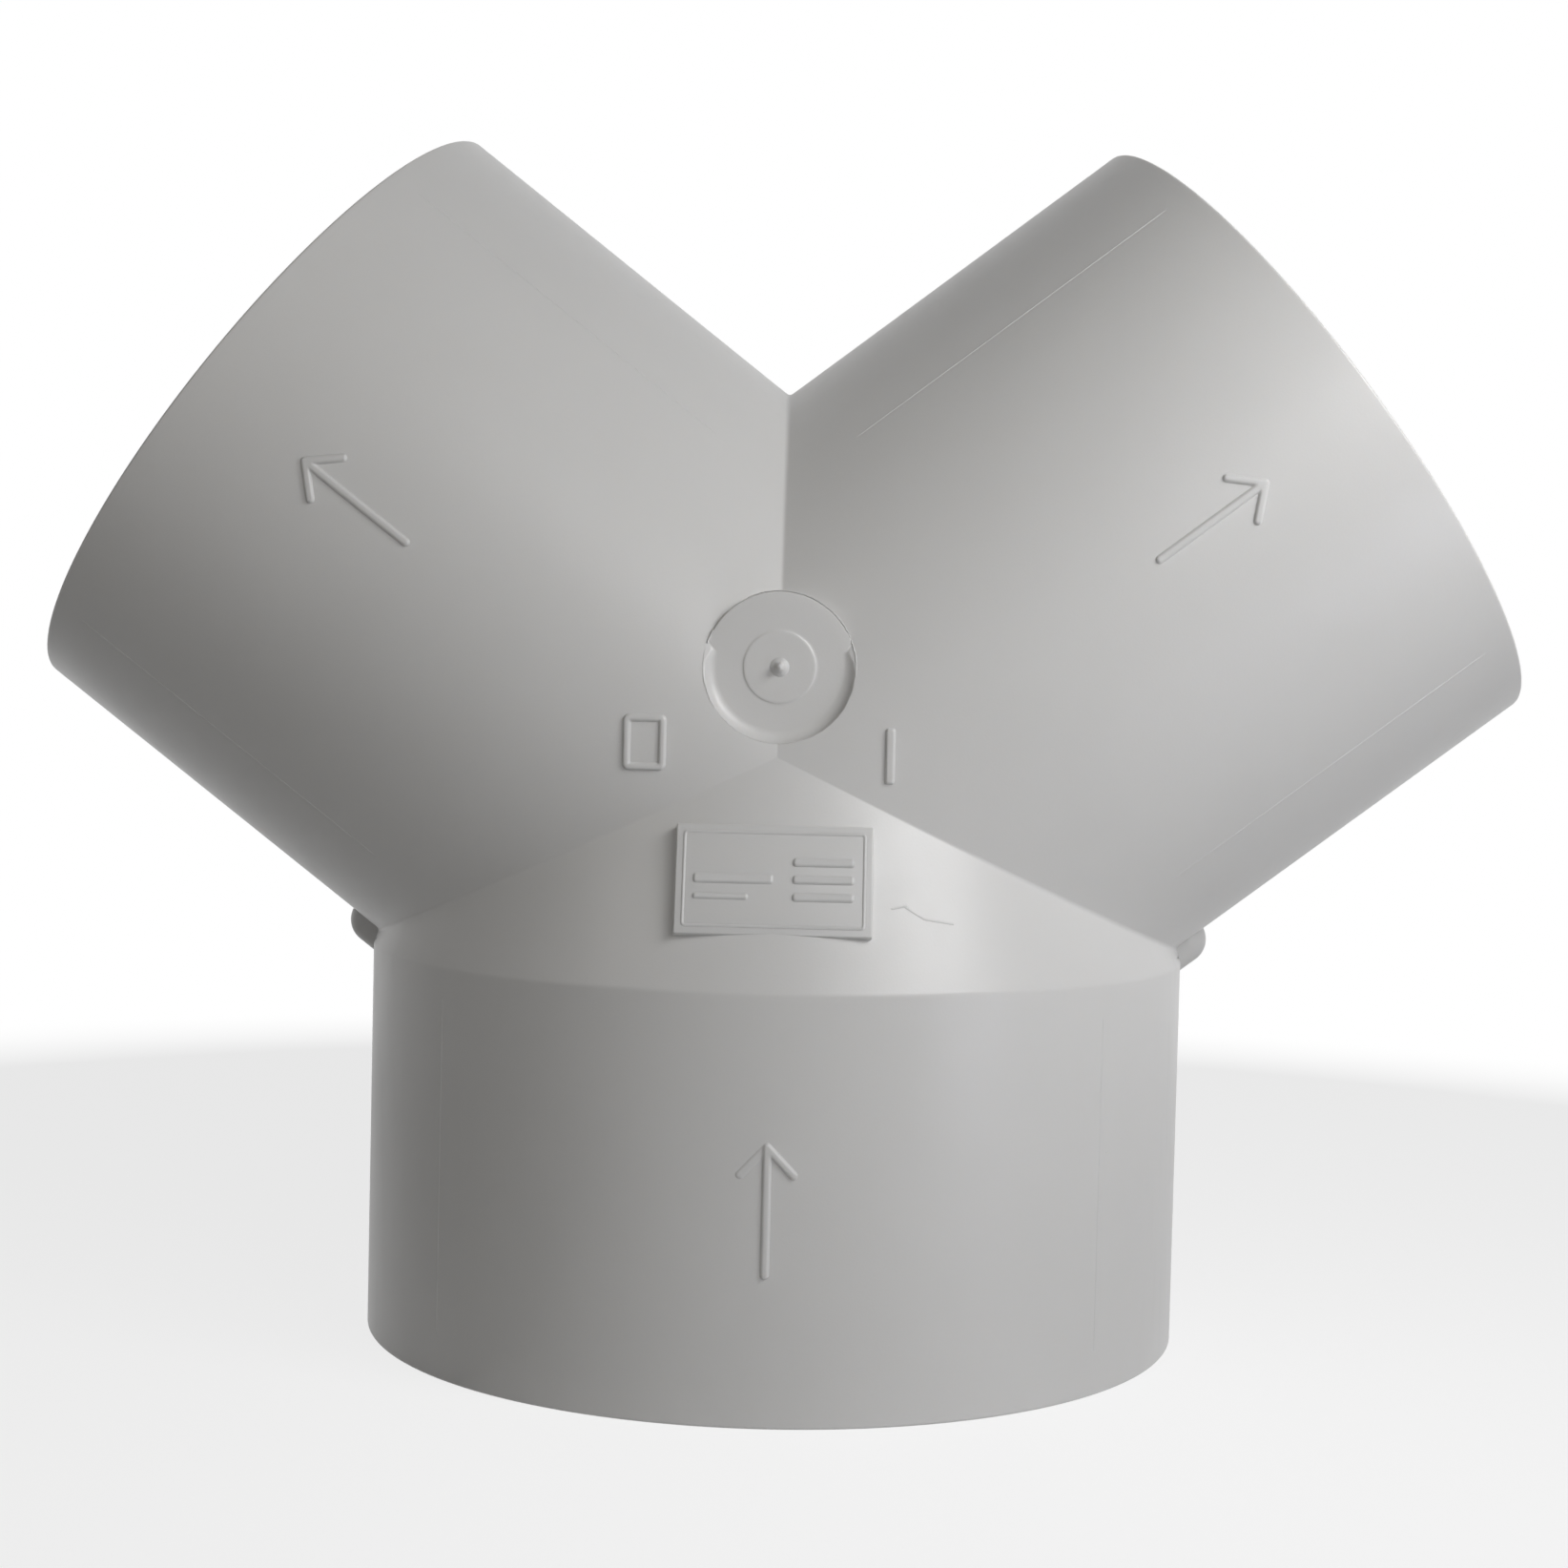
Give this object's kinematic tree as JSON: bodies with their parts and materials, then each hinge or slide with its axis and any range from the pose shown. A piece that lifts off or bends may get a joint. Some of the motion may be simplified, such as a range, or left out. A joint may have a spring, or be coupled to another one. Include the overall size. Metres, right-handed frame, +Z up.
{
  "type": "duct branch fitting",
  "caption": "One-piece moulded duct branch: a wide round inlet narrows through a short cone and parts into two smaller round outlets that lean apart.",
  "frame": {"origin": "centre of the inlet's open rim, on the surface that the fitting stands on", "axes": "+Z up the inlet's line, X through both outlets, -Y out of the front with the gate pad and the bare plate"},
  "size_m": [0.2682, 0.15, 0.2172],
  "materials": {
    "moulded_plastic": "satin off-white injection-moulded plastic with a faint sheen"
  },
  "bodies": {
    "root": {"branch_fitting": "moulded_plastic"}
  },
  "joints": []
}
